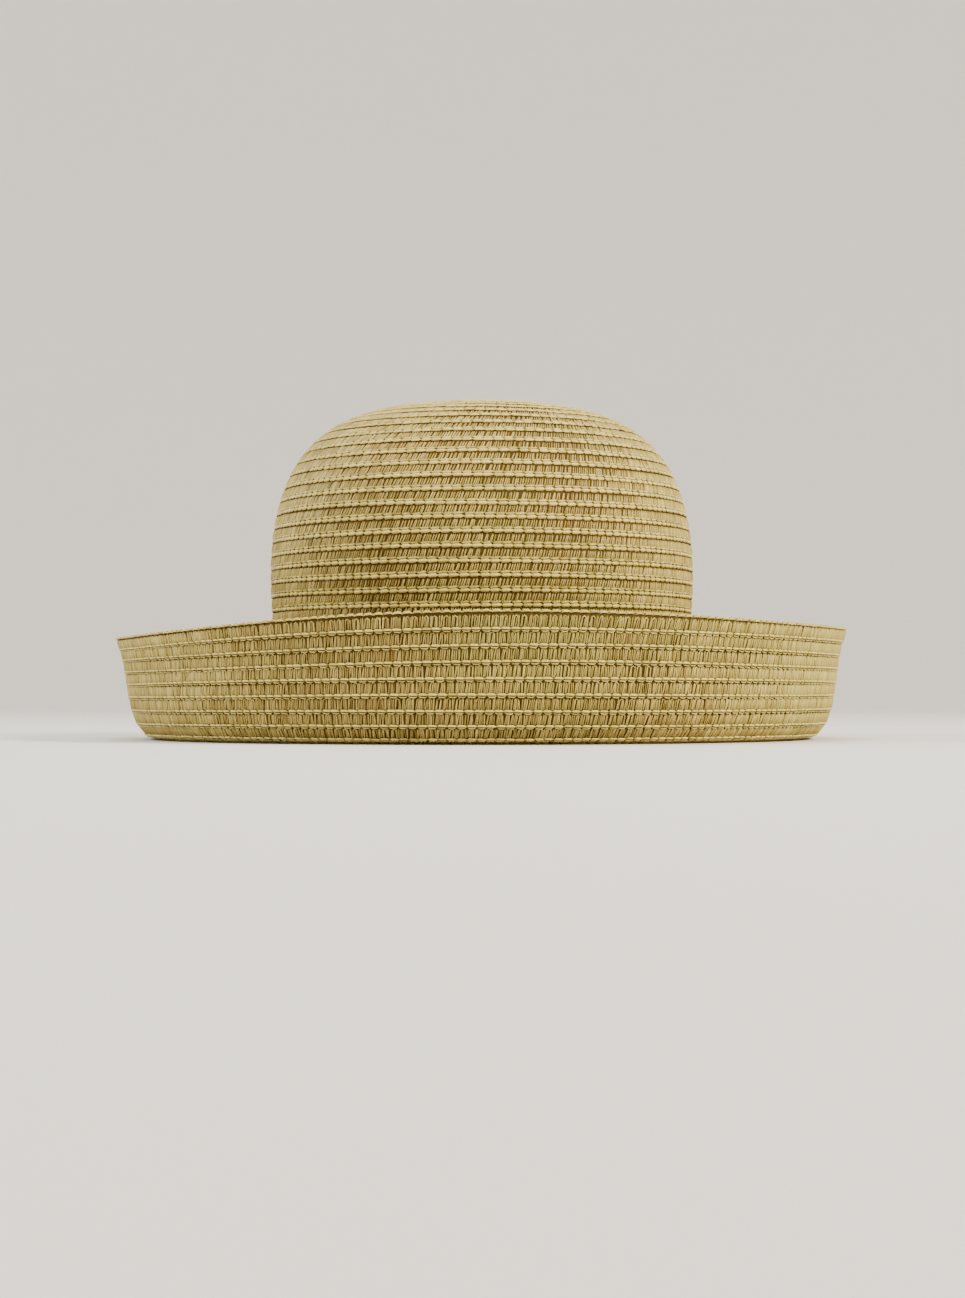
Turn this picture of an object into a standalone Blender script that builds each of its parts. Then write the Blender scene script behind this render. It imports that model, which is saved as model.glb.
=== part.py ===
"""Sun hat sewn from one straw braid, wound round and round from the tip of the crown to the rim.

The hat rests on the lowest ring of its brim. Metres, +Z up, centre front towards -Y.
"""

import math
from collections import namedtuple

import bmesh
import bpy

# Head opening
HEAD_HALF_WIDTH = 0.084
HEAD_HALF_LENGTH = 0.098

# Straw braid
ROW_PITCH = 0.0057
BRAID_THICKNESS = 0.0013
ROW_STEP = 0.0005

# Crown
CROWN_HEIGHT = 0.100
CROWN_DOME = 0.0085
CROWN_BULGE = 0.003
CROWN_SQUARENESS = 4.4
TIP_ROWS = 14

# Brim
SLOPE_ROWS = 10
ROLLED_ROWS = 9
FOOT_DEPTH = 0.0008

# Sweatband
SWEATBAND_HEIGHT = 0.025
SWEATBAND_THICKNESS = 0.001

# Space left between pieces
SEAM_GAP = 0.0003

# Facets
SEGMENTS = 40
STEPS_PER_ROW = 8
CROWN_SAMPLES = 600
SWEATBAND_BANDS = 3
SMOOTH_ANGLE_DEG = 50

# Slope of the brim from the head opening (share 0) to the rim (share 1), up is positive
BrimSection = namedtuple("BrimSection", "share slope_deg")
BRIM_SECTIONS = [
    BrimSection(share=0.00, slope_deg=-36),
    BrimSection(share=0.25, slope_deg=-35),
    BrimSection(share=0.44, slope_deg=-29),
    BrimSection(share=0.50, slope_deg=-6),
    BrimSection(share=0.55, slope_deg=26),
    BrimSection(share=0.60, slope_deg=50),
    BrimSection(share=0.66, slope_deg=70),
    BrimSection(share=0.74, slope_deg=82),
    BrimSection(share=0.86, slope_deg=82),
    BrimSection(share=1.00, slope_deg=70),
]

# Slow waves of the turned-up rim, height as a share of the row pitch
RimWave = namedtuple("RimWave", "waves height_share start_turn")
RIM_WAVES = [
    RimWave(waves=1, height_share=0.35, start_turn=0.05),
    RimWave(waves=2, height_share=0.40, start_turn=0.28),
    RimWave(waves=3, height_share=0.16, start_turn=0.10),
]

HEAD_MEAN = (HEAD_HALF_WIDTH + HEAD_HALF_LENGTH) / 2
HEAD_OVAL = (HEAD_HALF_LENGTH - HEAD_HALF_WIDTH) / 2
BRIM_ROWS = SLOPE_ROWS + ROLLED_ROWS
PROUD = BRAID_THICKNESS / 2 + ROW_STEP / 2
TUCKED = BRAID_THICKNESS / 2 - ROW_STEP / 2

# A place on the middle line of the straw wall: its top side faces along (out, up)
Station = namedtuple("Station", "radius height out up")


def clear_scene():
    """Remove every object of the open scene."""
    for thing in list(bpy.data.objects):
        bpy.data.objects.remove(thing, do_unlink=True)


def make_collection(name):
    """Add a collection to the scene and return it."""
    collection = bpy.data.collections.new(name)
    bpy.context.scene.collection.children.link(collection)
    return collection


def make_material(name, color, roughness):
    """Return a plain dielectric material."""
    material = bpy.data.materials.new(name)
    material.use_nodes = True
    shader = material.node_tree.nodes["Principled BSDF"]
    shader.inputs["Base Color"].default_value = (*color, 1)
    shader.inputs["Roughness"].default_value = roughness
    shader.inputs["Metallic"].default_value = 0
    material.diffuse_color = (*color, 1)
    return material


def brim_slope(share):
    """Slope of the brim in radians at a share of its length."""
    for low, high in zip(BRIM_SECTIONS, BRIM_SECTIONS[1:]):
        if share <= high.share:
            part = (share - low.share) / (high.share - low.share)
            part = part * part * (3 - 2 * part)
            return math.radians(low.slope_deg + part * (high.slope_deg - low.slope_deg))
    return math.radians(BRIM_SECTIONS[-1].slope_deg)


def brim_stations():
    """Walk from the head opening to the rim, with a station at each edge of a row."""
    steps = BRIM_ROWS * STEPS_PER_ROW
    stride = ROW_PITCH / STEPS_PER_ROW
    radius, height = HEAD_MEAN, 0.0
    stations = []
    for step in range(steps + 1):
        slope = brim_slope(step / steps)
        if step % STEPS_PER_ROW == 0:
            stations.append(Station(radius, height, -math.sin(slope), math.cos(slope)))
        middle = brim_slope((step + 0.5) / steps)
        radius += stride * math.cos(middle)
        height += stride * math.sin(middle)
    return stations


def squared(share):
    """Height of a squared quarter round of size 1 at a share of its width, or the other way."""
    return max(0.0, 1 - share**CROWN_SQUARENESS) ** (1 / CROWN_SQUARENESS)


def crown_radius(share, rise):
    """Mean radius of the crown's middle line, at a share of its width and of its height."""
    return share * (HEAD_MEAN + CROWN_BULGE * math.sin(math.pi * rise))


def crown_stations(base):
    """Stations from the tip to the crown's edge at height base, a row apart along the wall."""
    line = []
    for step in range(CROWN_SAMPLES + 1):
        share = math.sin(math.pi / 2 * step / CROWN_SAMPLES) ** (2 / CROWN_SQUARENESS)
        rise = squared(share)
        height = CROWN_HEIGHT * rise + CROWN_DOME * (1 - share**2)
        line.append((crown_radius(share, rise), base + height))
    run = [0.0]
    for near, far in zip(line, line[1:]):
        run.append(run[-1] + math.dist(near, far))
    rows = round(run[-1] / ROW_PITCH)
    stations = []
    place = 0
    for row in range(rows + 1):
        goal = run[-1] * row / rows
        while place < CROWN_SAMPLES - 1 and run[place + 1] < goal:
            place += 1
        part = (goal - run[place]) / (run[place + 1] - run[place])
        near, far = line[place], line[place + 1]
        length = math.dist(near, far)
        out = (near[1] - far[1]) / length
        up = (far[0] - near[0]) / length
        if row == 0:
            out, up = 0.0, 1.0
        radius = near[0] + part * (far[0] - near[0])
        height = near[1] + part * (far[1] - near[1])
        stations.append(Station(radius, height, out, up))
    return stations


def beside(station, distance):
    """Point at a distance from a station, towards the top side of the straw."""
    return station.radius + distance * station.out, station.height + distance * station.up


def rim_rise(angle, share):
    """Height that the waves add at an angle round the hat, at a share of the turned-up band."""
    rise = 0.0
    for wave in RIM_WAVES:
        turn = wave.waves * (angle - 2 * math.pi * wave.start_turn)
        rise += wave.height_share * ROW_PITCH * math.cos(turn)
    return rise * share**2


def turn_profile(name, profile, closed, collection):
    """Turn a profile of (radius, height) points round the Z axis and return the object."""
    mesh = bpy.data.meshes.new(name)
    edges = [(i, i + 1) for i in range(len(profile) - 1)]
    if closed:
        edges.append((len(profile) - 1, 0))
    mesh.from_pydata([(radius, 0, height) for radius, height in profile], edges, [])
    piece = bpy.data.objects.new(name, mesh)
    collection.objects.link(piece)
    screw = piece.modifiers.new("Turn", "SCREW")
    screw.axis = "Z"
    screw.angle = 2 * math.pi
    screw.steps = SEGMENTS
    screw.render_steps = SEGMENTS
    screw.use_merge_vertices = True
    screw.merge_threshold = 0.00005
    bpy.context.view_layer.objects.active = piece
    bpy.ops.object.modifier_apply(modifier=screw.name)
    return piece


def shape_oval(piece):
    """Draw a round piece out to the head's oval."""
    for vertex in piece.data.vertices:
        radius = math.hypot(vertex.co.x, vertex.co.y)
        if radius < ROW_STEP:
            continue
        spread = HEAD_OVAL * min(1.0, radius / HEAD_MEAN)
        vertex.co.x *= (radius - spread) / radius
        vertex.co.y *= (radius + spread) / radius


def finish_piece(piece, material):
    """Face the piece outward, shade it smooth between its steps and give it its material."""
    shell = bmesh.new()
    shell.from_mesh(piece.data)
    bmesh.ops.recalc_face_normals(shell, faces=shell.faces)
    shell.to_mesh(piece.data)
    shell.free()
    piece.data.materials.append(material)
    for polygon in piece.data.polygons:
        polygon.use_smooth = True
    piece.data.set_sharp_from_angle(angle=math.radians(SMOOTH_ANGLE_DEG))


def along(station, distance):
    """The station moved towards the rim by a distance."""
    radius = station.radius + distance * station.up
    height = station.height - distance * station.out
    return station._replace(radius=radius, height=height)


def stretch(stations, first, last):
    """Stations from one row edge to another, drawn in to leave the gap to the next stretch."""
    part = stations[first : last + 1]
    if first > 0:
        part[0] = along(part[0], SEAM_GAP / 2)
    if last < len(stations) - 1:
        part[-1] = along(part[-1], -SEAM_GAP / 2)
    return part


def thinned(points):
    """Every second point, and both ends."""
    kept = points[::2]
    if kept[-1] != points[-1]:
        kept.append(points[-1])
    return kept


def stepped(stations, near_side, far_side):
    """Points on one side of the straw, with a step where each row laps the next."""
    points = []
    for near, far in zip(stations, stations[1:]):
        points.append(beside(near, near_side))
        points.append(beside(far, far_side))
    return points


def build_brim(collection, material):
    """Model the sloping brim and its rolled edge, and return the height of the crown's seat."""
    stations = brim_stations()
    foot = min(beside(station, -PROUD)[1] for station in stations) + FOOT_DEPTH
    lowest = min(stations, key=lambda station: station.height)
    rim_height = stations[-1].height - lowest.height
    ranges = {"brim": (0, SLOPE_ROWS), "rolled_edge": (SLOPE_ROWS, BRIM_ROWS)}
    for name, (first, last) in ranges.items():
        part = stretch(stations, first, last)
        top = [beside(station, PROUD) for station in part]
        under = stepped(part, -PROUD, -TUCKED)
        under = [(radius, max(height, foot)) for radius, height in under]
        profile = [(radius, height - foot) for radius, height in top + under[::-1]]
        piece = turn_profile(name, profile, True, collection)
        for vertex in piece.data.vertices:
            radius = math.hypot(vertex.co.x, vertex.co.y)
            if radius > lowest.radius:
                share = min(1.0, max(0.0, (vertex.co.z + foot - lowest.height) / rim_height))
                vertex.co.z += rim_rise(math.atan2(vertex.co.y, vertex.co.x), share)
        shape_oval(piece)
        finish_piece(piece, material)
    return beside(stations[0], PROUD)[1] - foot


def build_crown(collection, material, seat):
    """Model the crown's side, which stands on the brim, and its domed tip."""
    lean = math.pi * CROWN_BULGE / CROWN_HEIGHT
    stations = crown_stations(seat + SEAM_GAP + PROUD * lean)
    rows = len(stations) - 1
    side = stretch(stations, TIP_ROWS, rows)
    tip = stretch(stations, 0, TIP_ROWS)
    for name, part, closed in (("crown_side", side, True), ("crown_tip", tip, False)):
        outer = stepped(part, TUCKED, PROUD)
        inner = thinned([beside(station, -PROUD) for station in part[::-1]])
        piece = turn_profile(name, outer + inner, closed, collection)
        shape_oval(piece)
        finish_piece(piece, material)


def build_sweatband(collection, material, seat):
    """Model the ribbon band that lines the foot of the crown."""
    outer = []
    for band in range(SWEATBAND_BANDS + 1):
        rise = SWEATBAND_HEIGHT * band / SWEATBAND_BANDS
        radius = crown_radius(squared(rise / CROWN_HEIGHT), rise / CROWN_HEIGHT)
        outer.append((radius - PROUD - SEAM_GAP, seat + SEAM_GAP + rise))
    inner = [(radius - SWEATBAND_THICKNESS, height) for radius, height in outer]
    sweatband = turn_profile("sweatband", outer[::-1] + inner, True, collection)
    shape_oval(sweatband)
    finish_piece(sweatband, material)


def main():
    clear_scene()
    collection = make_collection("sun_hat")
    straw = make_material("straw", (0.62, 0.51, 0.27), 0.62)
    ribbon = make_material("ribbon", (0.16, 0.12, 0.06), 0.75)
    seat = build_brim(collection, straw)
    build_crown(collection, straw, seat)
    build_sweatband(collection, ribbon, seat)


main()
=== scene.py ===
"""Looks of a sewn straw sun hat: rows of stitched braid on the crown and brim, and the ribbon inside.

The straw is one braid, lapped row on row. Every row is laid as stitches along the hat's wall: a
chain of twisted straw along the row's proud edge, and strands that run from it under the next row.
"""

from __future__ import annotations

import logging
import math
from dataclasses import dataclass, field
from enum import Enum

import bpy
import numpy as np
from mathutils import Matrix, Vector

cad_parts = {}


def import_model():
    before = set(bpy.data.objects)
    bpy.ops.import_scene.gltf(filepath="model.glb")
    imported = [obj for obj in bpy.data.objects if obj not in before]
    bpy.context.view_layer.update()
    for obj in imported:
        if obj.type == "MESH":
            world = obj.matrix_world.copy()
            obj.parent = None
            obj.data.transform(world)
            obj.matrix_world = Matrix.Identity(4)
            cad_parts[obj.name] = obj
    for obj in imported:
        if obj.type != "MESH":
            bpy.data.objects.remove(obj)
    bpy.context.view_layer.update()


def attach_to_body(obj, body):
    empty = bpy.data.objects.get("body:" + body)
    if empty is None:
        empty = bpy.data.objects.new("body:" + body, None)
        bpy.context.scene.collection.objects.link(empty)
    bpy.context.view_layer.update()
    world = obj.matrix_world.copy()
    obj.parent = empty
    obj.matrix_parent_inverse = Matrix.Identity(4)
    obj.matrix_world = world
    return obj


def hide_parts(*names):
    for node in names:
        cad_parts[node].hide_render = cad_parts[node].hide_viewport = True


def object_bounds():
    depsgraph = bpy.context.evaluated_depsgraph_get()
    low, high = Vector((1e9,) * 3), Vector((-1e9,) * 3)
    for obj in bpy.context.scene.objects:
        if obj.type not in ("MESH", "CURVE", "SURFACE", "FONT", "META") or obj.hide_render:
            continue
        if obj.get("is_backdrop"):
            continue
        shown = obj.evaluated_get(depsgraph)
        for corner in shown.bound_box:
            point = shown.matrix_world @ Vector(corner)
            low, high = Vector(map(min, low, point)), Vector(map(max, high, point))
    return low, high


LOG = logging.getLogger("sun_hat")
BAKE_MAP = "OFBake"
PHOTO_WIDTH, PHOTO_HEIGHT = 965, 1298
MM = 0.001
# Painted shade: strands are darkened on their flanks, where shade falls in the creases between them, and
# at their tucked ends, which lie in shade under the next row.
PAINTED_FLANK_SHADE = 0.6
PAINTED_END_SHADE = -0.3
DARKEST_TONE = -0.3
TINY = 0.00001
OVAL_STEPS = 721
ROW_WAVES = (2, 3, 4)
FEWEST_STITCHES = 5


class Side(Enum):
    """Side of the straw wall that a braid is seen on."""

    TOP = 1
    UNDER = -1


class Ply(Enum):
    """What a strand of a stitch is, with the tone it starts from: the proud chain and bow start lighter
    as painted light on the raised plies, and the loop and strands of the under side start darker as
    painted shade in the recesses.
    """

    CHAIN = 0.96
    BOW = 0.88
    LOOP = 0.50
    STRAND = 0.46
    LEANING = 0.78


@dataclass(frozen=True)
class StrawFinish:
    """Natural paper straw: a light face, a darker one, and fine fibres along each strand."""

    name: str
    light: tuple[float, float, float] = (0.81, 0.66, 0.205)
    dark: tuple[float, float, float] = (0.24, 0.158, 0.016)
    green: tuple[float, float, float] = (0.44, 0.45, 0.10)
    warm: tuple[float, float, float] = (0.60, 0.39, 0.10)
    roughness: float = 0.40
    gloss: float = 0.45
    fibre_depth: float = 0.00006
    fibre_strength: float = 0.8

    def material(self, fibres: bpy.types.NodeTree) -> bpy.types.Material:
        """Make the straw material.

        Args:
            fibres: The shared node group of straw fibres.

        Returns:
            The new material.
        """
        material, nodes, links, shader = new_material(self.name)
        tone = nodes.new("ShaderNodeAttribute")
        tone.attribute_name = "tone"
        run = nodes.new("ShaderNodeAttribute")
        run.attribute_name = "run"
        place = nodes.new("ShaderNodeTexCoord")
        group = nodes.new("ShaderNodeGroup")
        group.node_tree = fibres
        group.inputs["Light"].default_value = (*self.light, 1)
        group.inputs["Dark"].default_value = (*self.dark, 1)
        group.inputs["Green"].default_value = (*self.green, 1)
        group.inputs["Warm"].default_value = (*self.warm, 1)
        group.inputs["Roughness"].default_value = self.roughness
        links.new(tone.outputs["Fac"], group.inputs["Tone"])
        links.new(run.outputs["Vector"], group.inputs["Run"])
        links.new(place.outputs["Object"], group.inputs["Place"])
        bump = nodes.new("ShaderNodeBump")
        bump.inputs["Strength"].default_value = self.fibre_strength
        bump.inputs["Distance"].default_value = self.fibre_depth
        links.new(group.outputs["Color"], shader.inputs["Base Color"])
        links.new(group.outputs["Roughness"], shader.inputs["Roughness"])
        links.new(group.outputs["Height"], bump.inputs["Height"])
        links.new(bump.outputs["Normal"], shader.inputs["Normal"])
        shader.inputs["Specular IOR Level"].default_value = self.gloss
        return material


@dataclass(frozen=True)
class RibbonFinish:
    """Ribbed ribbon: fine ribs across it, with a painted highlight on the raised part of each rib for a
    slight sheen.
    """

    name: str = "ribbon"
    color: tuple[float, float, float] = (0.115, 0.085, 0.040)
    # Painted highlight: the lighter colour laid on the raised part of each rib.
    high: tuple[float, float, float] = (0.17, 0.13, 0.065)
    rib_pitch: float = 0.0009
    rib_depth: float = 0.0002
    rib_strength: float = 0.7
    roughness: float = 0.72

    def material(self) -> bpy.types.Material:
        """Make the ribbon material.

        Returns:
            The new material.
        """
        material, nodes, links, shader = new_material(self.name)
        run = nodes.new("ShaderNodeAttribute")
        run.attribute_name = "run"
        wave = nodes.new("ShaderNodeTexWave")
        wave.wave_type = "BANDS"
        wave.bands_direction = "X"
        wave.inputs["Scale"].default_value = 2 * math.pi / (20 * self.rib_pitch)
        wave.inputs["Distortion"].default_value = 0.4
        wave.inputs["Detail"].default_value = 1.0
        mix = nodes.new("ShaderNodeMix")
        mix.data_type = "RGBA"
        mix.inputs["A"].default_value = (*self.color, 1)
        mix.inputs["B"].default_value = (*self.high, 1)
        bump = nodes.new("ShaderNodeBump")
        bump.inputs["Strength"].default_value = self.rib_strength
        bump.inputs["Distance"].default_value = self.rib_depth
        links.new(run.outputs["Vector"], wave.inputs["Vector"])
        links.new(wave.outputs["Fac"], mix.inputs["Factor"])
        links.new(mix.outputs["Result"], shader.inputs["Base Color"])
        links.new(wave.outputs["Fac"], bump.inputs["Height"])
        links.new(bump.outputs["Normal"], shader.inputs["Normal"])
        shader.inputs["Roughness"].default_value = self.roughness
        return material


def new_material(name: str) -> tuple:
    """Start a material with nodes.

    Args:
        name: The material's name.

    Returns:
        The material, its nodes, its links and its Principled shader.
    """
    material = bpy.data.materials.new(name)
    material.use_nodes = True
    tree = material.node_tree
    return material, tree.nodes, tree.links, tree.nodes["Principled BSDF"]


def group_socket(tree: bpy.types.NodeTree, name: str, kind: str, inward: bool) -> None:
    """Add a named socket to a node group.

    Args:
        tree: The group.
        name: The socket's name.
        kind: The socket's type, such as Float, Color or Vector.
        inward: True for an input.
    """
    way = "INPUT" if inward else "OUTPUT"
    tree.interface.new_socket(name=name, in_out=way, socket_type=f"NodeSocket{kind}")


def fibre_group() -> bpy.types.NodeTree:
    """Build the node group that colours straw and raises its fibres.

    Returns:
        The group, with Color, Roughness and Height outputs.
    """
    tree = bpy.data.node_groups.new("straw_fibres", "ShaderNodeTree")
    for name, kind in (
        ("Tone", "Float"),
        ("Run", "Vector"),
        ("Place", "Vector"),
        ("Light", "Color"),
        ("Dark", "Color"),
        ("Green", "Color"),
        ("Warm", "Color"),
        ("Roughness", "Float"),
    ):
        group_socket(tree, name, kind, True)
    for name, kind in (("Color", "Color"), ("Roughness", "Float"), ("Height", "Float")):
        group_socket(tree, name, kind, False)
    nodes, links = tree.nodes, tree.links
    given = nodes.new("NodeGroupInput")
    result = nodes.new("NodeGroupOutput")

    streak_scale = nodes.new("ShaderNodeVectorMath")
    streak_scale.operation = "MULTIPLY"
    streak_scale.inputs[1].default_value = (420, 5.5, 40)
    streak = nodes.new("ShaderNodeTexNoise")
    streak.inputs["Scale"].default_value = 1.0
    streak.inputs["Detail"].default_value = 3.0
    links.new(given.outputs["Run"], streak_scale.inputs[0])
    links.new(streak_scale.outputs["Vector"], streak.inputs["Vector"])

    patch = nodes.new("ShaderNodeTexNoise")
    patch.inputs["Scale"].default_value = 26.0
    patch.inputs["Detail"].default_value = 4.0
    links.new(given.outputs["Place"], patch.inputs["Vector"])

    total = given.outputs["Tone"]
    for noise, swing in ((streak, 0.55), (patch, 0.28)):
        part = nodes.new("ShaderNodeMath")
        part.operation = "MULTIPLY_ADD"
        part.inputs[1].default_value = swing
        part.inputs[2].default_value = -swing / 2
        links.new(noise.outputs["Fac"], part.inputs[0])
        added = nodes.new("ShaderNodeMath")
        added.operation = "ADD"
        links.new(total, added.inputs[0])
        links.new(part.outputs["Value"], added.inputs[1])
        total = added.outputs["Value"]
    added.use_clamp = True

    straw = nodes.new("ShaderNodeMix")
    straw.data_type = "RGBA"
    links.new(total, straw.inputs["Factor"])
    links.new(given.outputs["Dark"], straw.inputs["A"])
    links.new(given.outputs["Light"], straw.inputs["B"])

    tint = nodes.new("ShaderNodeTexNoise")
    tint.inputs["Scale"].default_value = 9.0
    tint.inputs["Detail"].default_value = 2.0
    links.new(given.outputs["Place"], tint.inputs["Vector"])
    tint_part = nodes.new("ShaderNodeMapRange")
    tint_part.inputs["From Min"].default_value = 0.45
    tint_part.inputs["From Max"].default_value = 0.75
    tint_part.inputs["To Max"].default_value = 0.35
    links.new(tint.outputs["Fac"], tint_part.inputs["Value"])
    tinted = nodes.new("ShaderNodeMix")
    tinted.data_type = "RGBA"
    links.new(tint_part.outputs["Result"], tinted.inputs["Factor"])
    links.new(straw.outputs["Result"], tinted.inputs["A"])
    links.new(given.outputs["Green"], tinted.inputs["B"])

    split = nodes.new("ShaderNodeSeparateXYZ")
    links.new(given.outputs["Run"], split.inputs["Vector"])
    warmth = nodes.new("ShaderNodeMapRange")
    warmth.inputs["From Min"].default_value = 0.65
    warmth.inputs["To Max"].default_value = 0.45
    links.new(split.outputs["Z"], warmth.inputs["Value"])
    warmed = nodes.new("ShaderNodeMix")
    warmed.data_type = "RGBA"
    links.new(warmth.outputs["Result"], warmed.inputs["Factor"])
    links.new(tinted.outputs["Result"], warmed.inputs["A"])
    links.new(given.outputs["Warm"], warmed.inputs["B"])
    links.new(warmed.outputs["Result"], result.inputs["Color"])

    gloss_swing = 0.22
    gloss = nodes.new("ShaderNodeMath")
    gloss.operation = "MULTIPLY_ADD"
    gloss.inputs[1].default_value = gloss_swing
    links.new(streak.outputs["Fac"], gloss.inputs[0])
    links.new(given.outputs["Roughness"], gloss.inputs[2])
    centred = nodes.new("ShaderNodeMath")
    centred.operation = "SUBTRACT"
    centred.inputs[1].default_value = gloss_swing / 2
    links.new(gloss.outputs["Value"], centred.inputs[0])
    links.new(centred.outputs["Value"], result.inputs["Roughness"])
    links.new(streak.outputs["Fac"], result.inputs["Height"])
    return tree


@dataclass
class Meridian:
    """Middle line of the straw wall from its first row edge to its last.

    Attributes:
        row: Row coordinate of each sample.
        radius: Mean radius of each sample.
        height: Height of each sample.
    """

    row: np.ndarray
    radius: np.ndarray
    height: np.ndarray

    def at(self, row: np.ndarray) -> tuple[np.ndarray, np.ndarray, np.ndarray, np.ndarray]:
        """Read the line.

        Args:
            row: Row coordinates.

        Returns:
            Radius, height, and the change of each per row.
        """
        slopes = np.gradient(self.radius, self.row), np.gradient(self.height, self.row)
        read = [np.interp(row, self.row, values) for values in (self.radius, self.height, *slopes)]
        past = row - np.clip(row, self.row[0], self.row[-1])
        return read[0] + past * read[2], read[1] + past * read[3], read[2], read[3]

    @property
    def rows(self) -> int:
        """Number of rows."""
        return round(float(self.row[-1]))


@dataclass
class HatShape:
    """Sizes of the hat's wall, the same as the solids that it dresses."""

    head_half_width: float = 0.084
    head_half_length: float = 0.098
    row_pitch: float = 0.0057
    braid_thickness: float = 0.0013
    row_step: float = 0.0005
    crown_height: float = 0.100
    crown_dome: float = 0.0085
    crown_bulge: float = 0.003
    crown_squareness: float = 4.4
    slope_rows: int = 10
    rolled_rows: int = 9
    foot_depth: float = 0.0008
    seam_gap: float = 0.0003
    steps_per_row: int = 8
    crown_samples: int = 600
    brim_slopes: tuple[tuple[float, float], ...] = (
        (0.00, -36),
        (0.25, -35),
        (0.44, -29),
        (0.50, -6),
        (0.55, 26),
        (0.60, 50),
        (0.66, 70),
        (0.74, 82),
        (0.86, 82),
        (1.00, 70),
    )
    rim_waves: tuple[tuple[int, float, float], ...] = (
        (1, 0.35, 0.05),
        (2, 0.40, 0.28),
        (3, 0.16, 0.10),
    )
    rest_height: float = 0.00115
    rest_ease: float = 0.0005
    floor_ease: float = 0.0004
    brim: Meridian = field(init=False)
    crown: Meridian = field(init=False)

    def __post_init__(self) -> None:
        """Work out the middle lines of the brim and the crown."""
        self.head_mean = (self.head_half_width + self.head_half_length) / 2
        self.head_oval = (self.head_half_length - self.head_half_width) / 2
        self.proud = (self.braid_thickness + self.row_step) / 2
        self.brim = self.brim_line()
        self.crown = self.crown_line()
        low = int(np.argmin(self.brim.height[:: self.steps_per_row])) * self.steps_per_row
        self.low_radius = float(self.brim.radius[low])
        self.low_height = float(self.brim.height[low])
        self.rim_height = float(self.brim.height[-1]) - self.low_height

    def slope(self, share: float) -> float:
        """Slope of the brim.

        Args:
            share: Share of the brim's length from the head opening.

        Returns:
            The slope in radians, up being positive.
        """
        for low, high in zip(self.brim_slopes, self.brim_slopes[1:]):
            if share <= high[0]:
                part = (share - low[0]) / (high[0] - low[0])
                part = part * part * (3 - 2 * part)
                return math.radians(low[1] + part * (high[1] - low[1]))
        return math.radians(self.brim_slopes[-1][1])

    def brim_line(self) -> Meridian:
        """Walk along the brim from the head opening to the rim.

        Returns:
            The brim's middle line, at rest on the floor.
        """
        rows = self.slope_rows + self.rolled_rows
        steps = rows * self.steps_per_row
        slopes = np.array([self.slope(step / steps) for step in range(steps + 1)])
        middles = np.array([self.slope((step + 0.5) / steps) for step in range(steps)])
        stride = self.row_pitch / self.steps_per_row
        radius = self.head_mean + np.append(0, np.cumsum(stride * np.cos(middles)))
        height = np.append(0, np.cumsum(stride * np.sin(middles)))
        proud = height - self.proud * np.cos(slopes)
        foot = proud[:: self.steps_per_row].min() + self.foot_depth
        self.seat = self.proud * math.cos(slopes[0]) - foot
        return Meridian(np.arange(steps + 1) / self.steps_per_row, radius, height - foot)

    def squared(self, share: np.ndarray) -> np.ndarray:
        """Height of a squared quarter round of size 1 at a share of its width, or the other way."""
        power = self.crown_squareness
        return np.maximum(0, 1 - share**power) ** (1 / power)

    def crown_radius(self, share: np.ndarray, rise: np.ndarray) -> np.ndarray:
        """Mean radius of the crown at a share of its width and of its height."""
        return share * (self.head_mean + self.crown_bulge * np.sin(math.pi * rise))

    def crown_line(self) -> Meridian:
        """Walk along the crown from its tip to its edge above the brim.

        Returns:
            The crown's middle line.
        """
        turn = np.linspace(0, math.pi / 2, self.crown_samples + 1)
        share = np.sin(turn) ** (2 / self.crown_squareness)
        rise = self.squared(share)
        height = self.crown_height * rise + self.crown_dome * (1 - share**2)
        radius = self.crown_radius(share, rise)
        run = np.append(0, np.cumsum(np.hypot(np.diff(radius), np.diff(height))))
        rows = round(run[-1] / self.row_pitch)
        row = run / run[-1] * rows
        even = np.arange(rows * self.steps_per_row + 1) / self.steps_per_row
        lean = math.pi * self.crown_bulge / self.crown_height
        base = self.seat + self.seam_gap + self.proud * lean
        return Meridian(even, np.interp(even, row, radius), base + np.interp(even, row, height))

    def spread(self, radius: np.ndarray) -> np.ndarray:
        """Half the difference between the oval's half length and half width, at a mean radius."""
        return self.head_oval * np.minimum(1, radius / self.head_mean)

    def angles(self, line: Meridian, row: float, turns: np.ndarray) -> np.ndarray:
        """Angles at even steps round the oval.

        Args:
            line: The middle line.
            row: Row coordinate.
            turns: Shares of the way round.

        Returns:
            The angle of each share, in radians.
        """
        radius = float(line.at(np.array([row]))[0][0])
        fine = np.linspace(0, 2 * math.pi, OVAL_STEPS)
        spread = float(self.spread(np.array([radius]))[0])
        x, y = (radius - spread) * np.cos(fine), (radius + spread) * np.sin(fine)
        run = np.append(0, np.cumsum(np.hypot(np.diff(x), np.diff(y))))
        whole = np.floor(turns)
        return 2 * math.pi * whole + np.interp(turns - whole, run / run[-1], fine)

    def girth(self, line: Meridian, row: float) -> float:
        """Length once round the oval at a row coordinate."""
        radius = float(line.at(np.array([row]))[0][0])
        spread = float(self.spread(np.array([radius]))[0])
        wide, long = radius - spread, radius + spread
        return math.pi * (3 * (wide + long) - math.sqrt((3 * wide + long) * (wide + 3 * long)))

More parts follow.
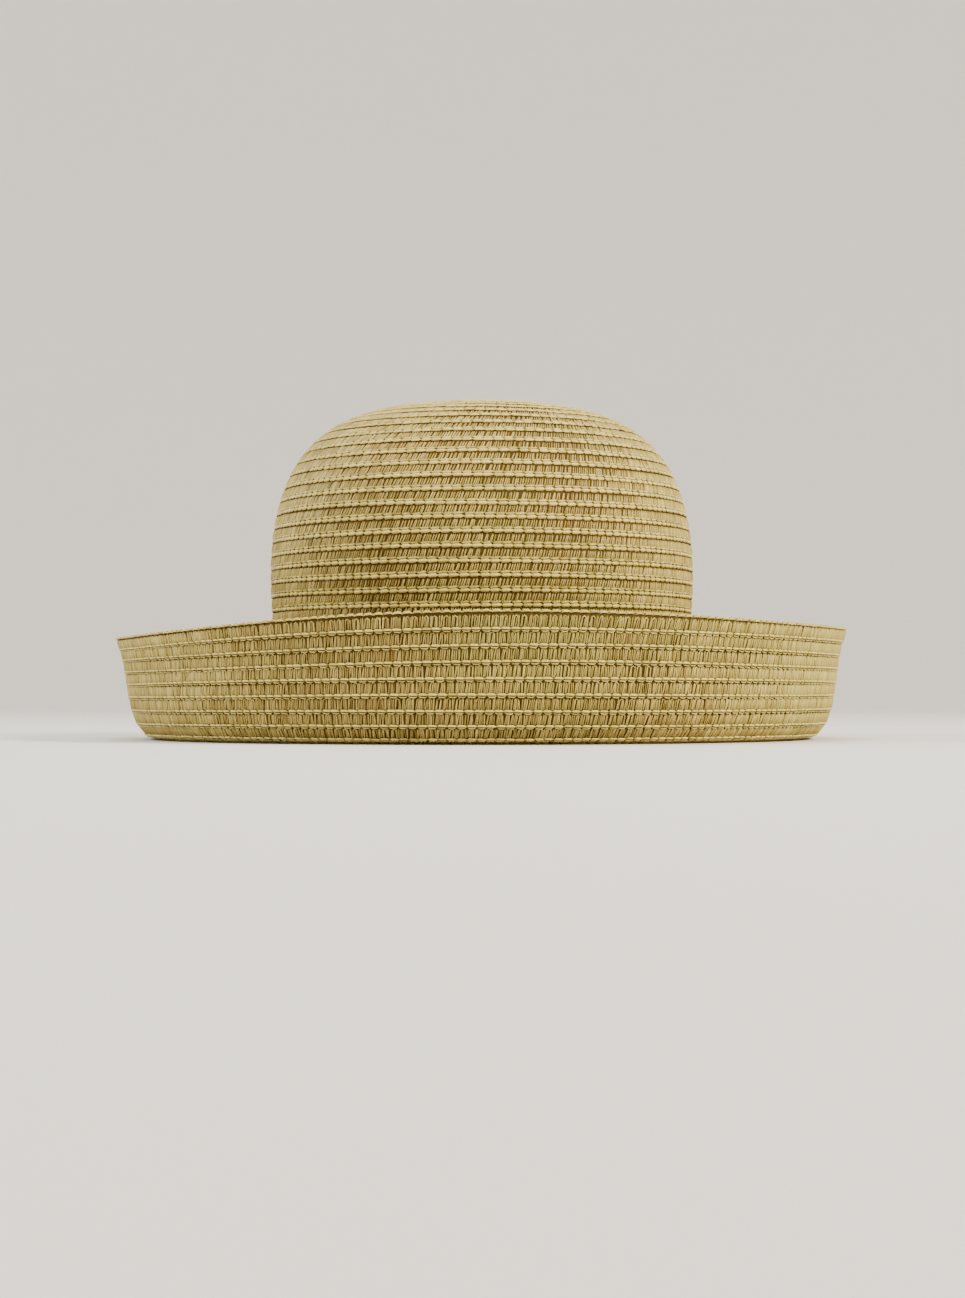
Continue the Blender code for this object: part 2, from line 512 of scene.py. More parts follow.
    def place(
        self, line: Meridian, row: np.ndarray, angle: np.ndarray, depth: np.ndarray
    ) -> np.ndarray:
        """Put points on the wall.

        Args:
            line: The middle line.
            row: Row coordinate of each point.
            angle: Angle round the hat of each point.
            depth: Distance from the middle line, towards the top side.

        Returns:
            The points, with x, y and z in the last axis.
        """
        radius, height, d_radius, d_height = line.at(row)
        if line is self.brim:
            above = (height - self.rest_height) / self.rest_ease
            height = self.rest_height + self.rest_ease * np.logaddexp(0, above)
        spread = self.spread(radius)
        d_spread = np.where(radius < self.head_mean, self.head_oval / self.head_mean * d_radius, 0)
        cos, sin = np.cos(angle), np.sin(angle)
        point = np.stack([(radius - spread) * cos, (radius + spread) * sin, height], -1)
        ratio = spread / np.maximum(radius, TINY)
        round_way = np.stack([-(1 - ratio) * sin, (1 + ratio) * cos, np.zeros_like(cos)], -1)
        row_way = np.stack([(d_radius - d_spread) * cos, (d_radius + d_spread) * sin, d_height], -1)
        normal = np.cross(row_way, round_way)
        normal /= np.linalg.norm(normal, axis=-1, keepdims=True)
        if line is self.brim:
            share = np.clip((height - self.low_height) / self.rim_height, 0, 1)
            share = np.where(radius > self.low_radius, share, 0)
            point[..., 2] += self.rim_rise(angle) * share**2
        point = point + depth[..., None] * normal
        low = point[..., 2] < self.floor_ease
        eased = self.floor_ease * np.exp((point[..., 2] - self.floor_ease) / self.floor_ease)
        point[..., 2] = np.where(low, eased, point[..., 2])
        return point

    def rim_rise(self, angle: np.ndarray) -> np.ndarray:
        """Height that the slow waves add to the rim at each angle."""
        rise = np.zeros_like(angle)
        for waves, share, start in self.rim_waves:
            rise += share * self.row_pitch * np.cos(waves * (angle - 2 * math.pi * start))
        return rise


@dataclass
class Strand:
    """One strand of a stitch: a closed tube along a path of points in millimetres.

    Attributes:
        ply: What the strand is.
        path: Points along the row, across it from its proud edge, and outward.
        radius: Radius in millimetres.
        sides: Number of sides.
        flat: How many times wider than thick the strand is.
    """

    ply: Ply
    path: tuple[tuple[float, float, float], ...]
    radius: float
    sides: int = 3
    flat: float = 1.0

    def mesh(self) -> tuple[np.ndarray, list[tuple[int, ...]], np.ndarray, np.ndarray]:
        """Model the tube.

        Returns:
            Its points in metres, its faces, each point's run along and round the strand, and each point's
            painted shade: 0 on the outer face, less on the flanks where shade falls in the creases
            between strands, and less at the tucked ends, which lie in shade under the next row.
        """
        path = np.array(self.path) * MM
        radius = self.radius * MM
        ahead = np.gradient(path, axis=0)
        ahead /= np.linalg.norm(ahead, axis=1, keepdims=True)
        aside = np.cross(ahead, (0, 0, 1))
        aside /= np.linalg.norm(aside, axis=1, keepdims=True)
        upward = np.cross(aside, ahead)
        length = np.append(0, np.cumsum(np.linalg.norm(np.diff(path, axis=0), axis=1)))
        points, run, shade = [path[0]], [(0.0, 0.5, 0.0)], [PAINTED_END_SHADE]
        last = len(path) - 1
        for ring in range(1, last):
            for side in range(self.sides):
                turn = math.pi / 2 + 2 * math.pi * side / self.sides
                out = math.cos(turn) * self.flat * aside[ring] + math.sin(turn) * upward[ring]
                points.append(path[ring] + radius * out)
                run.append((length[ring], side / self.sides, 0.0))
                # painted shade on the lower flanks of the strand
                shade.append(PAINTED_FLANK_SHADE * min(0.0, math.sin(turn)))
        points.append(path[last])
        run.append((length[last], 0.5, 0.0))
        shade.append(PAINTED_END_SHADE)
        faces: list[tuple[int, ...]] = []
        end = len(points) - 1
        for side in range(self.sides):
            beyond = (side + 1) % self.sides
            faces.append((0, 1 + beyond, 1 + side))
            for ring in range(last - 2):
                near, far = 1 + ring * self.sides, 1 + (ring + 1) * self.sides
                faces.append((near + side, near + beyond, far + beyond, far + side))
            near = 1 + (last - 2) * self.sides
            faces.append((near + side, near + beyond, end))
        return np.array(points), faces, np.array(run), np.array(shade)


def faces_outward(points: np.ndarray, faces: list[tuple[int, ...]]) -> bool:
    """Tell whether a closed mesh's faces point out of it.

    Args:
        points: The mesh's points.
        faces: The mesh's faces.

    Returns:
        True if the volume inside the faces is positive.
    """
    volume = 0.0
    for face in faces:
        for near, far in zip(face[1:], face[2:]):
            volume += float(np.dot(points[face[0]], np.cross(points[near], points[far])))
    return volume > 0


@dataclass
class Stitch:
    """A stitch of the braid, modelled once and laid again and again along the rows.

    Attributes:
        strands: The strands that make it.
        length: Its length along the row.
        width: Its width across the row.
        painted_shading: Painted light and shade, a change of tone from the row's proud edge to its tucked
            edge.
    """

    strands: list[Strand]
    length: float
    width: float
    painted_shading: float = 0.0

    def __post_init__(self) -> None:
        """Join the strands' meshes."""
        points, loops, sizes, run, tone, owner = [], [], [], [], [], []
        count = 0
        for number, strand in enumerate(self.strands):
            made, faces, made_run, shade = strand.mesh()
            if not faces_outward(made, faces):
                faces = [face[::-1] for face in faces]
            points.append(made)
            run.append(made_run)
            across = made[:, 1] / self.width
            # Tone of each point: its ply's tone, plus painted light and shade across the row, plus the
            # painted shade on flanks and ends.
            tone.append(strand.ply.value + self.painted_shading * np.clip(across, 0, 1) + shade)
            owner.append(np.full(len(made), number))
            for face in faces:
                loops.extend(count + corner for corner in face)
                sizes.append(len(face))
            count += len(made)
        self.points = np.concatenate(points)
        self.run = np.concatenate(run)
        self.tone = np.concatenate(tone)
        self.owner = np.concatenate(owner)
        self.loops = np.array(loops)
        self.sizes = np.array(sizes)

    def triangles(self) -> int:
        """Number of triangles in one stitch."""
        return int((self.sizes - 2).sum())

    def mirrored_loops(self) -> np.ndarray:
        """The corner list with every face turned round."""
        parts = np.split(self.loops, np.cumsum(self.sizes)[:-1])
        return np.concatenate([part[::-1] for part in parts])


@dataclass
class MeshParts:
    """Arrays of a mesh that is put together from many small ones."""

    points: list[np.ndarray] = field(default_factory=list)
    loops: list[np.ndarray] = field(default_factory=list)
    sizes: list[np.ndarray] = field(default_factory=list)
    tone: list[np.ndarray] = field(default_factory=list)
    run: list[np.ndarray] = field(default_factory=list)
    chart: list[np.ndarray] = field(default_factory=list)
    count: int = 0

    def object(self, name: str) -> bpy.types.Object:
        """Make the object.

        Args:
            name: The object's name.

        Returns:
            The new object, smooth shaded, with its attributes and bake map.
        """
        points = np.concatenate(self.points)
        loops = np.concatenate(self.loops)
        sizes = np.concatenate(self.sizes)
        mesh = bpy.data.meshes.new(name)
        mesh.vertices.add(len(points))
        mesh.vertices.foreach_set("co", points.ravel())
        mesh.loops.add(len(loops))
        mesh.loops.foreach_set("vertex_index", loops)
        mesh.polygons.add(len(sizes))
        mesh.polygons.foreach_set("loop_start", np.append(0, np.cumsum(sizes)[:-1]))
        mesh.polygons.foreach_set("use_smooth", np.ones(len(sizes), bool))
        mesh.update(calc_edges=True)
        tone = mesh.attributes.new("tone", "FLOAT", "POINT")
        tone.data.foreach_set("value", np.concatenate(self.tone))
        run = mesh.attributes.new("run", "FLOAT_VECTOR", "POINT")
        run.data.foreach_set("vector", np.concatenate(self.run).ravel())
        chart = mesh.uv_layers.new(name=BAKE_MAP)
        chart.data.foreach_set("uv", np.concatenate(self.chart)[loops].ravel())
        mesh.validate()
        piece = bpy.data.objects.new(name, mesh)
        bpy.context.scene.collection.objects.link(piece)
        LOG.info("%s: %d triangles", name, int((sizes - 2).sum()))
        return piece


@dataclass
class Braid:
    """Rows of stitches on one side of a stretch of the wall.

    Attributes:
        name: The piece's name.
        shape: The hat's sizes.
        line: Middle line that the rows follow.
        first: First row.
        last: Row after the last.
        side: Side of the wall.
        stitch: The stitch that repeats.
        seed: Seed of the small differences between stitches.
        slip: How far a strand strays along the row.
        sway: How far its tucked end strays.
        lift: How far it strays outward.
        tone_range: Difference of tone between strands.
        patch_range: Difference of tone between stitches.
        row_range: Difference of tone between rows.
        wander: How far the row's line strays, in rows.
        strips: Strips that a row is cut into on the bake map.
    """

    name: str
    shape: HatShape
    line: Meridian
    first: int
    last: int
    side: Side
    stitch: Stitch
    seed: int
    slip: float = 0.00014
    sway: float = 0.00028
    lift: float = 0.00006
    tone_range: float = 0.18
    patch_range: float = 0.05
    row_range: float = 0.05
    wander: float = 0.05
    strips: int = 3

    def build(self) -> bpy.types.Object:
        """Lay every row.

        Returns:
            The braid as one object.
        """
        rng = np.random.default_rng(self.seed)
        parts = MeshParts()
        for row in range(self.first, self.last):
            self.lay_row(parts, row, rng)
        return parts.object(self.name)

    def lay_row(self, parts: MeshParts, row: int, rng: np.random.Generator) -> None:
        """Lay one row of stitches.

        Args:
            parts: Where the row's arrays go.
            row: The row's number.
            rng: Source of the small differences.
        """
        stitch, shape = self.stitch, self.shape
        girth = shape.girth(self.line, row + 0.5)
        count = max(FEWEST_STITCHES, round(girth / stitch.length))
        strands = len(stitch.strands)
        slips = rng.normal(0, self.slip, (count, strands))[:, stitch.owner]
        lifts = rng.normal(0, self.lift, (count, strands))[:, stitch.owner]
        tones = rng.normal(0, self.tone_range, (count, strands))[:, stitch.owner]
        patch = rng.normal(0, self.patch_range, (count, 1)) + rng.normal(0, self.row_range)
        start = rng.random()
        across = np.broadcast_to(stitch.points[:, 1] / stitch.width, slips.shape)
        sways = rng.normal(0, self.sway, (count, strands))[:, stitch.owner] * np.clip(across, 0, 1)
        x = (stitch.points[:, 0] + slips + sways) / stitch.length
        turns = (np.arange(count)[:, None] + x + start) / count
        angle = shape.angles(self.line, row + 0.5, turns)
        if self.side is Side.TOP:
            across = 1 - across
        phases = rng.random(len(ROW_WAVES)) * 2 * math.pi
        wander = sum(np.sin(wave * angle + phase) for wave, phase in zip(ROW_WAVES, phases))
        wander = wander / len(ROW_WAVES)
        place = row + across + self.wander * wander
        depth = self.side.value * (stitch.points[:, 2] + lifts)
        points = shape.place(self.line, place, angle, depth)
        loops = stitch.mirrored_loops()
        cells = np.arange(count)[:, None] * len(stitch.points) + parts.count
        parts.points.append(points.reshape(-1, 3))
        parts.loops.append((loops[None, :] + cells).ravel())
        parts.sizes.append(np.tile(stitch.sizes, count))
        tone = np.clip(stitch.tone + tones + patch, DARKEST_TONE, 1)
        parts.tone.append(tone.ravel())
        run = np.broadcast_to(stitch.run, (count, *stitch.run.shape)).copy()
        run[..., 2] = rng.random((count, strands))[:, stitch.owner]
        parts.run.append(run.reshape(-1, 3))
        parts.chart.append(self.chart(row, count, x, across).reshape(-1, 2))
        parts.count += count * len(stitch.points)

    def chart(self, row: int, count: int, x: np.ndarray, across: np.ndarray) -> np.ndarray:
        """Bake map of a row, cut into strips that are stacked.

        Args:
            row: The row's number.
            count: Number of stitches in the row.
            x: Place of each point along its stitch.
            across: Place of each point across its row.

        Returns:
            The map's u and v for each point.
        """
        reach, margin = 0.4, 0.02
        cell = np.arange(count)[:, None]
        per_strip = math.ceil(count / self.strips)
        u = (cell % per_strip + reach + np.clip(x, -reach, 1 + reach)) / (per_strip + 1)
        lane = (row - self.first) * self.strips + cell // per_strip
        lanes = (self.last - self.first) * self.strips
        v = (lane + np.clip(across, margin, 1 - margin)) / lanes
        return np.stack([np.clip(u, 0, 1), v], -1)


def under_stitch(length: float, width: float, count: int, radius: float) -> Stitch:
    """The stitch seen on the underside and on the outer face of the rolled edge.

    Args:
        length: Length of a stitch along the row.
        width: Width of a row.
        count: Number of strands beside the loop.
        radius: Radius of those strands in millimetres.

    Returns:
        A chain, the bow that leaves a slit below it, a loop and its strands.
    """
    end = length / MM
    chain = ((-0.5, 0.2, 0.80), (0.5, 0.36, 1.05), (2.6, 0.30, 1.08), (end + 0.5, 0.05, 0.82))
    bow = ((-0.3, 0.0, 0.72), (0.7, -0.62, 0.94), (2.5, -0.74, 0.92), (end + 0.1, -0.15, 0.66))
    loop = (
        (0.1, 0.3, 0.50),
        (0.15, 1.0, 0.54),
        (0.75, 4.1, 0.52),
        (1.45, 4.6, 0.46),
        (2.2, 4.0, 0.48),
        (2.15, 1.0, 0.52),
        (2.1, 0.3, 0.50),
    )
    strands = [
        Strand(Ply.CHAIN, chain, radius=0.38, sides=4, flat=1.15),
        Strand(Ply.BOW, bow, radius=0.31, flat=1.1),
        Strand(Ply.LOOP, loop, radius=0.32),
    ]
    ends = ((3.35, 3.8, 4.3), (1.45, 1.8, 3.8), (2.75, 3.05, 4.2), (0.8, 1.25, 3.9))
    for foot, top, reach in ends[:count]:
        path = (
            (foot, 0.1, 0.56),
            (foot + 0.05, 0.8, 0.64),
            (top, reach, 0.54),
            (top + 0.1, reach + 0.7, 0.34),
        )
        strands.append(Strand(Ply.STRAND, path, radius))
    # Painted light: loops and strands grow lighter towards their tops, as if lit there, and darker at
    # their feet.
    return Stitch(strands, length, width, painted_shading=0.14)


def top_stitch(length: float, width: float, count: int) -> Stitch:
    """The stitch seen on the crown and on the upper side of the brim.

    Args:
        length: Length of a stitch along the row.
        width: Width of a row.
        count: Number of leaning strands.

    Returns:
        A flat chain of two broad plies along the row's edge and a run of leaning strands.
    """
    end = length / MM
    edge = ((-0.7, 0.6, 0.50), (0.5, 0.46, 0.66), (2.8, 0.6, 0.68), (end + 0.5, 0.75, 0.48))
    second = ((-0.9, 1.9, 0.40), (0.2, 1.7, 0.54), (2.5, 1.9, 0.54), (end + 0.3, 2.1, 0.38))
    strands = [
        Strand(Ply.CHAIN, edge, radius=0.36, sides=4, flat=2.2),
        Strand(Ply.CHAIN, second, radius=0.36, flat=2.1),
    ]
    radius = 1.90 / count
    for number in range(count):
        foot = (number + 0.4) * end / count
        path = (
            (foot, 1.4, 0.34),
            (foot + 0.15, 2.2, 0.44),
            (foot + 0.9, 4.7, 0.28),
            (foot + 1.1, 5.6, 0.06),
        )
        strands.append(Strand(Ply.LEANING, path, radius))
    # Painted shade: the strands grow darker towards the tucked edge, as if in shade under the next row's
    # edge.
    return Stitch(strands, length, width, painted_shading=-0.50)


def lining_stitch(length: float, width: float) -> Stitch:
    """The chain that shows inside the crown.

    Args:
        length: Length of a stitch along the row.
        width: Width of a row.

    Returns:
        One ply of chain.
    """
    end = length / MM
    path = ((-0.5, -0.1, 0.3), (0.6, 0.05, 0.62), (2.8, 0.25, 0.62), (end + 0.5, 0.3, 0.3))
    return Stitch([Strand(Ply.CHAIN, path, radius=0.42)], length, width)


def deselect_all() -> None:
    """Leave nothing selected."""
    bpy.ops.object.select_all(action="DESELECT")


def flat_grid(name: str, around: int, across: int) -> tuple[bpy.types.Object, np.ndarray, np.ndarray]:
    """Make a flat grid that is bent into a sheet of the hat.

    Args:
        name: The piece's name.
        around: Facets round the hat.
        across: Facets the other way.

    Returns:
        The grid, each point's angle round the hat, and its share of the way across.
    """
    deselect_all()
    bpy.ops.mesh.primitive_grid_add(x_subdivisions=around, y_subdivisions=across, size=1)
    piece = bpy.context.active_object
    piece.name = piece.data.name = name
    flat = np.empty(len(piece.data.vertices) * 3)
    piece.data.vertices.foreach_get("co", flat)
    flat = flat.reshape(-1, 3) + 0.5
    return piece, flat[:, 0] * 2 * math.pi, flat[:, 1]


def add_run(piece: bpy.types.Object, along: np.ndarray, across: np.ndarray) -> None:
    """Give a sheet the attribute that its material's pattern follows.

    Args:
        piece: The sheet.
        along: Run of each point one way.
        across: Run of each point the other way.
    """
    run = piece.data.attributes.new("run", "FLOAT_VECTOR", "POINT")
    run.data.foreach_set("vector", np.stack([along, across, np.zeros(len(along))], -1).ravel())


def thicken(piece: bpy.types.Object, thickness: float) -> None:
    """Close a bent grid's seam, turn it outward and give it its thickness.

    Args:
        piece: The bent grid, which is the active object.
        thickness: Thickness of the sheet.
    """
    bpy.ops.object.mode_set(mode="EDIT")
    bpy.ops.mesh.select_all(action="SELECT")
    bpy.ops.mesh.remove_doubles(threshold=TINY)
    bpy.ops.mesh.normals_make_consistent(inside=False)
    bpy.ops.object.mode_set(mode="OBJECT")
    wall = piece.modifiers.new("Wall", "SOLIDIFY")
    wall.thickness = thickness
    wall.offset = 0
    bpy.ops.object.modifier_apply(modifier=wall.name)


@dataclass
class Core:
    """The close inner layer of the braid, a thin sheet between the stitches of both sides, near black as
    painted shade in the gaps between stitches.

    Attributes:
        name: The piece's name.
        shape: The hat's sizes.
        line: Middle line that the sheet follows.
        thickness: Thickness of the sheet.
        tone: Tone of the sheet, painted shade that shows dark between the stitches.
        inner_tone: Tone of the crown's inner face.
        segments: Facets round the hat.
        bands: Facets across each row.
        run_per_radian: How fast the fibre pattern runs round the hat.
    """

    name: str
    shape: HatShape
    line: Meridian
    thickness: float = 0.0006
    tone: float = -0.35
    inner_tone: float = 0.55
    segments: int = 96
    bands: int = 1
    run_per_radian: float = 100.0

    def build(self) -> bpy.types.Object:
        """Shape a grid into the sheet.

        Returns:
            The sheet as an object.
        """
        piece, angle, share = flat_grid(self.name, self.segments, self.line.rows * self.bands)
        row = share * self.line.rows
        placed = self.shape.place(self.line, row, angle, np.zeros(len(row)))
        piece.data.vertices.foreach_set("co", placed.ravel())
        tone = piece.data.attributes.new("tone", "FLOAT", "POINT")
        # painted shade: the sheet takes the dark tone all over
        tone.data.foreach_set("value", np.full(len(row), self.tone))
        add_run(piece, row * self.shape.row_pitch, angle * self.run_per_radian)
        thicken(piece, self.thickness)
        self.lighten_inside(piece)
        bpy.ops.object.shade_smooth()
        LOG.info("%s: %d faces", self.name, len(piece.data.polygons))
        return piece

    def lighten_inside(self, piece: bpy.types.Object) -> None:
        """Give the crown's inner face the tone of open straw.

        Args:
            piece: The sheet with its thickness.
        """
        if self.line is not self.shape.crown:
            return
        count = len(piece.data.vertices)
        place, normal = np.empty(count * 3), np.empty(count * 3)
        piece.data.vertices.foreach_get("co", place)
        piece.data.vertices.foreach_get("normal", normal)
        middle = np.array((0, 0, self.shape.seat + self.shape.crown_height / 2))
        inward = ((place.reshape(-1, 3) - middle) * normal.reshape(-1, 3)).sum(1) < 0
        tones = np.where(inward, self.inner_tone, self.tone)
        piece.data.attributes["tone"].data.foreach_set("value", tones)


@dataclass
class RimCord:
    """The chain that closes the last row along the rim."""

    shape: HatShape
    stitch_length: float
    seed: int = 41

    def build(self) -> bpy.types.Object:
        """Lay the chain round the rim.

        Returns:
            The cord as one object.
        """
        wide = self.stitch_length / MM
        inner = ((-0.6, 0.5, 0.1), (0.6, -0.05, 0.36), (2.4, -0.2, 0.40), (wide + 0.2, 0.5, 0.2))
        outer = ((-0.3, 0.55, -0.3), (0.8, -0.1, -0.42), (2.6, -0.2, -0.46), (wide + 0.4, 0.5, -0.2))
        strands = [
            Strand(Ply.LOOP, inner, radius=0.36, sides=5),
            Strand(Ply.CHAIN, outer, radius=0.36, sides=5),
        ]
        stitch = Stitch(strands, self.stitch_length, self.shape.row_pitch)
        rows = self.shape.brim.rows
        cord = Braid("rim_cord", self.shape, self.shape.brim, rows - 1, rows, Side.TOP, stitch, self.seed)
        return cord.build()


@dataclass
class Sweatband:
    """Ribbon that lines the foot of the crown, sewn in along its lower edge."""

    shape: HatShape
    height: float = 0.025
    thickness: float = 0.001
    segments: int = 120
    bands: int = 4
    edge_share: float = 0.3

    def build(self) -> bpy.types.Object:
        """Shape a grid into the ribbon and give it its thickness.

        Returns:
            The ribbon as an object.
        """
        shape = self.shape
        piece, angle, share = flat_grid("sweatband_ribbon", self.segments, self.bands)
        rise = share * self.height
        part = rise / shape.crown_height
        gap = shape.proud + shape.seam_gap + self.thickness / 2
        radius = shape.crown_radius(shape.squared(part), part) - gap
        spread = shape.spread(radius)
        x, y = (radius - spread) * np.cos(angle), (radius + spread) * np.sin(angle)
        points = np.stack([x, y, shape.seat + shape.seam_gap + rise], -1)
        piece.data.vertices.foreach_set("co", points.ravel())
        add_run(piece, angle * shape.head_mean, rise)
        thicken(piece, self.thickness)
        edge = piece.modifiers.new("Edge", "BEVEL")
        edge.width = self.thickness * self.edge_share
        edge.segments = 2
        edge.limit_method = "ANGLE"
        bpy.ops.object.modifier_apply(modifier=edge.name)
        bpy.ops.object.shade_smooth()
        LOG.info("sweatband_ribbon: %d faces", len(piece.data.polygons))
        return piece


@dataclass
class StrawHat:
    """The whole hat: braid on both sides of the wall, the layer between, the rim and the ribbon.

    Attributes:
        shape: The hat's sizes.
        stitch_length: Length of a stitch on the underside and the rim.
        top_length: Length of a stitch on the crown and the top side.
        fold_start: First row of the fold's braid.
        fold_end: First row of the rolled edge's braid.
        side_rows: Rows of the crown's side piece.
        bare_rows: Rows at the crown's foot with no stitches inside.
    """

    shape: HatShape
    stitch_length: float = 0.0036
    top_length: float = 0.0040
    fold_start: int = 8
    fold_end: int = 14
    side_rows: int = 12
    bare_rows: int = 5

    def build(self) -> None:
        """Build, finish and attach every piece."""
        shape = self.shape
        fibres = fibre_group()
        straw = StrawFinish("straw").material(fibres)
        # The core's finish is near black as painted shade for the recesses between the stitches.
        core_shade_finish = StrawFinish(
            "straw_core_painted_shade",
            dark=(0.085, 0.052, 0.010),
            green=(0.10, 0.09, 0.02),
            warm=(0.12, 0.07, 0.015),
            roughness=0.85,
            gloss=0.1,
        ).material(fibres)
        ribbon = RibbonFinish().material()
        under = under_stitch(self.stitch_length, shape.row_pitch, count=4, radius=0.39)
        plain = under_stitch(self.stitch_length, shape.row_pitch, count=2, radius=0.45)
        top = top_stitch(self.top_length, shape.row_pitch, count=3)
        fine = top_stitch(self.top_length, shape.row_pitch, count=4)
        lining = lining_stitch(self.top_length, shape.row_pitch)
        LOG.info("stitch triangles: under %d, top %d", under.triangles(), top.triangles())
        brim, crown = shape.brim, shape.crown
        rows, crown_rows = brim.rows, crown.rows
        halfway, shoulder = rows // 2 + 1, crown_rows - self.side_rows
        fold, turned, bare = self.fold_start, self.fold_end, crown_rows - self.bare_rows
        braids = (
            Braid("slope_under_braid", shape, brim, 0, fold, Side.UNDER, plain, seed=11),
            Braid("fold_under_braid", shape, brim, fold, turned, Side.UNDER, under, seed=12),
            Braid("rolled_edge_outer_braid", shape, brim, turned, rows, Side.UNDER, under, seed=13),
            Braid("slope_top_braid", shape, brim, 0, halfway, Side.TOP, top, seed=14),
            Braid("rolled_edge_inner_braid", shape, brim, halfway, rows, Side.TOP, top, seed=15),
            Braid("crown_tip_braid", shape, crown, 0, shoulder, Side.TOP, fine, seed=16),
            Braid("crown_side_braid", shape, crown, shoulder, crown_rows, Side.TOP, fine, seed=17),
            Braid("crown_lining_braid", shape, crown, 1, bare, Side.UNDER, lining, seed=18),
        )
        for braid in braids:
            attach(braid.build(), straw, ())
        attach(RimCord(shape, self.stitch_length).build(), straw, ())
        attach(Core("brim_core", shape, brim).build(), core_shade_finish, ("brim", "rolled_edge"))
        attach(Core("crown_core", shape, crown).build(), core_shade_finish, ("crown_side", "crown_tip"))
        attach(Sweatband(shape).build(), ribbon, ("sweatband",))


def attach(piece: bpy.types.Object, material: bpy.types.Material, nodes: tuple) -> None:
    """Give a piece its material, hang it on the root body, and hide the solids that it replaces.

    Args:
        piece: The piece.
        material: Its material.
        nodes: The solids that it replaces.
    """
    piece.data.materials.clear()
    piece.data.materials.append(material)
    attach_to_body(piece, "root")
    if nodes:
        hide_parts(*nodes)


@dataclass
class SoftBox:
    """A square studio light.

    Attributes:
        name: The light's name.
        spot: Where it hangs.
        size: Its width.
        power: Its power in watts.
        color: Its colour.
    """

    name: str
    spot: tuple[float, float, float]
    size: float
    power: float
    color: tuple[float, float, float]

    def build(self, aim: Vector) -> None:
        """Hang the light and turn it to a point.

        Args:
            aim: The point that it faces.
        """
        light = bpy.data.lights.new(self.name, "AREA")
        light.shape = "SQUARE"
        light.size = self.size
        light.energy = self.power
        light.color = self.color
        lamp = bpy.data.objects.new(self.name, light)
        bpy.context.scene.collection.objects.link(lamp)
        lamp.location = self.spot
        lamp.rotation_euler = (aim - Vector(self.spot)).to_track_quat("-Z", "Y").to_euler()


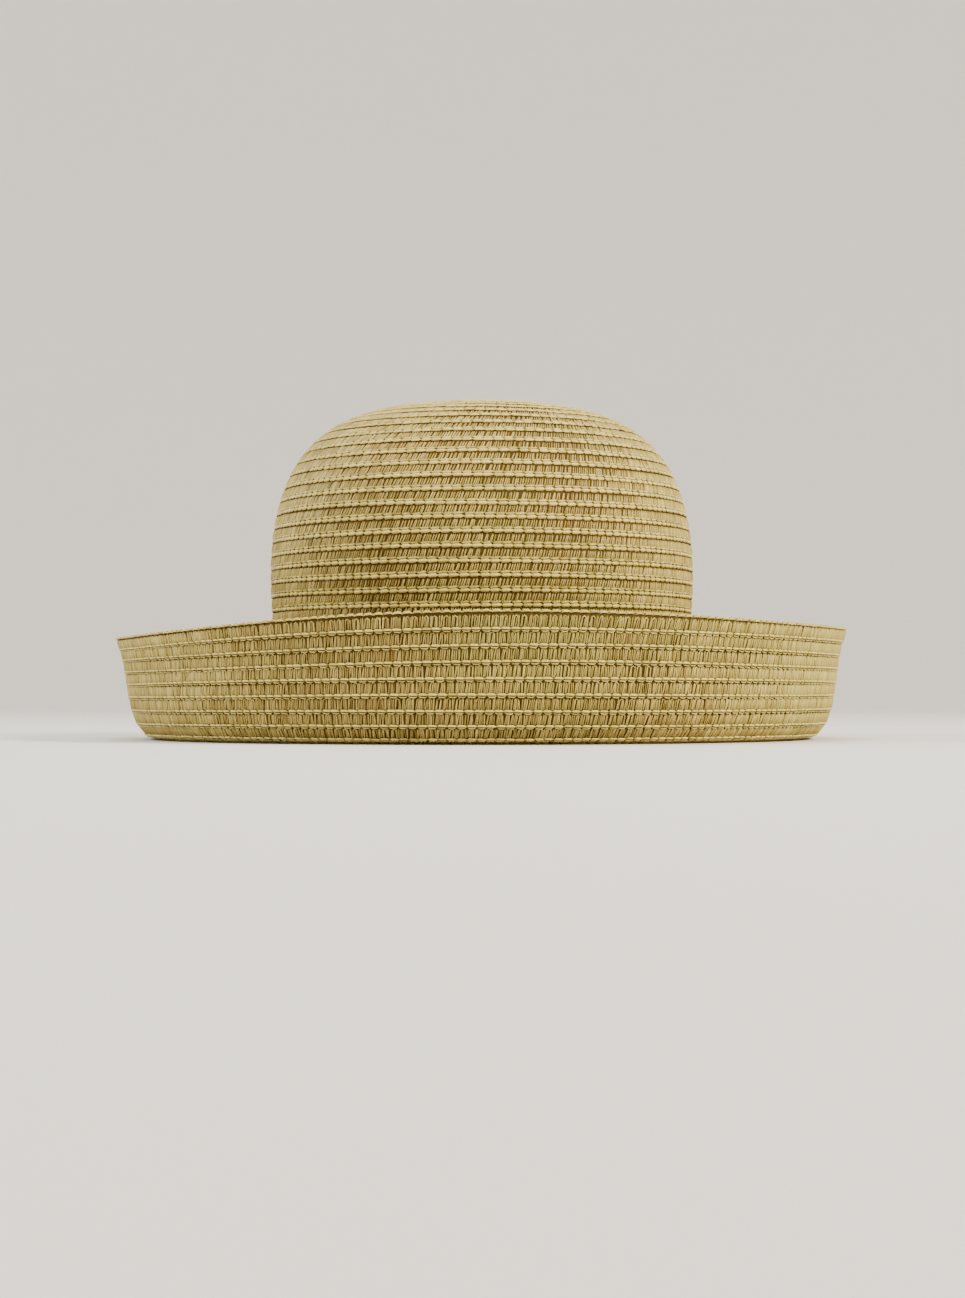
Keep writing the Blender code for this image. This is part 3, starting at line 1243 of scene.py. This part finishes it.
@dataclass
class Studio:
    """Pale floor with a curved wall all round, soft lights, and the camera."""

    floor_radius: float = 1.7
    floor_sides: int = 96
    wall_height: float = 1.2
    sweep: float = 1.3
    sweep_steps: int = 8
    floor_color: tuple[float, float, float] = (0.84, 0.83, 0.81)
    floor_roughness: float = 0.9
    surround_color: tuple[float, float, float] = (0.9, 0.93, 1.0)
    surround_strength: float = 0.21
    lens_pixels: float = 3000.0
    hat_share: float = 0.75
    raise_share: float = 0.06
    azimuth: float = 8.0
    eye_height: float = 0.02
    lights: tuple[SoftBox, ...] = (
        SoftBox("key", (1.7, -0.8, 1.35), size=0.6, power=68, color=(1.0, 0.89, 0.73)),
        SoftBox("fill", (-1.7, -0.75, 1.2), size=0.9, power=23, color=(0.92, 0.98, 1.0)),
        SoftBox("top", (-0.2, 0.2, 2.0), size=1.2, power=19, color=(1.0, 1.0, 1.0)),
    )

    def build(self) -> None:
        """Build the floor, the lights, the surrounding light and the camera."""
        low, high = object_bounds()
        centre = (low + high) / 2
        self.floor()
        for light in self.lights:
            light.build(centre)
        world = bpy.data.worlds.new("surround")
        world.use_nodes = True
        background = world.node_tree.nodes["Background"]
        background.inputs["Color"].default_value = (*self.surround_color, 1)
        background.inputs["Strength"].default_value = self.surround_strength
        bpy.context.scene.world = world
        self.camera(centre, high.x - low.x)

    def floor(self) -> None:
        """Spin a floor and its rising wall into a round sweep."""
        deselect_all()
        bpy.ops.mesh.primitive_circle_add(
            vertices=self.floor_sides, radius=self.floor_radius, fill_type="NGON"
        )
        floor = bpy.context.active_object
        floor.name = floor.data.name = "floor"
        bpy.ops.object.mode_set(mode="EDIT")
        bpy.ops.mesh.select_mode(type="EDGE")
        bpy.ops.mesh.select_all(action="SELECT")
        turn = math.pi / 2 / self.sweep_steps
        for step in range(self.sweep_steps):
            near, far = step * turn, (step + 1) * turn
            radius = self.floor_radius + self.sweep * math.sin(near)
            wider = self.floor_radius + self.sweep * math.sin(far)
            rise = self.sweep * (math.cos(near) - math.cos(far))
            bpy.ops.mesh.extrude_region_move(TRANSFORM_OT_translate={"value": (0, 0, rise)})
            bpy.ops.transform.resize(value=(wider / radius, wider / radius, 1), center_override=(0, 0, 0))
        bpy.ops.mesh.extrude_region_move(TRANSFORM_OT_translate={"value": (0, 0, self.wall_height)})
        bpy.ops.mesh.select_mode(type="VERT")
        bpy.ops.object.mode_set(mode="OBJECT")
        bpy.ops.object.shade_smooth()
        material, _, _, shader = new_material("studio_floor")
        shader.inputs["Base Color"].default_value = (*self.floor_color, 1)
        shader.inputs["Roughness"].default_value = self.floor_roughness
        floor.data.materials.append(material)
        floor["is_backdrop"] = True

    def camera(self, centre: Vector, width: float) -> None:
        """Set the camera low in front of the hat, as far as its size in the frame asks.

        Args:
            centre: Centre of the hat.
            width: Width of the hat.
        """
        data = bpy.data.cameras.new("camera")
        data.sensor_fit = "AUTO"
        data.lens = data.sensor_width * self.lens_pixels / PHOTO_HEIGHT
        camera = bpy.data.objects.new("camera", data)
        bpy.context.scene.collection.objects.link(camera)
        distance = self.lens_pixels * width / (self.hat_share * PHOTO_WIDTH)
        turn = math.radians(self.azimuth)
        spot = Vector((math.sin(turn) * distance, -math.cos(turn) * distance, self.eye_height))
        camera.location = spot
        below = self.raise_share * PHOTO_HEIGHT / self.lens_pixels * distance
        aim = centre - Vector((0, 0, below))
        camera.rotation_euler = (aim - spot).to_track_quat("-Z", "Y").to_euler()
        data.clip_start = 0.01
        data.clip_end = 50
        bpy.context.scene.camera = camera


def main() -> None:
    """Dress the hat and set up the studio."""
    logging.basicConfig(level=logging.INFO, format="%(name)s: %(message)s")
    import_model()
    StrawHat(HatShape()).build()
    Studio().build()


if __name__ == "__main__":
    main()
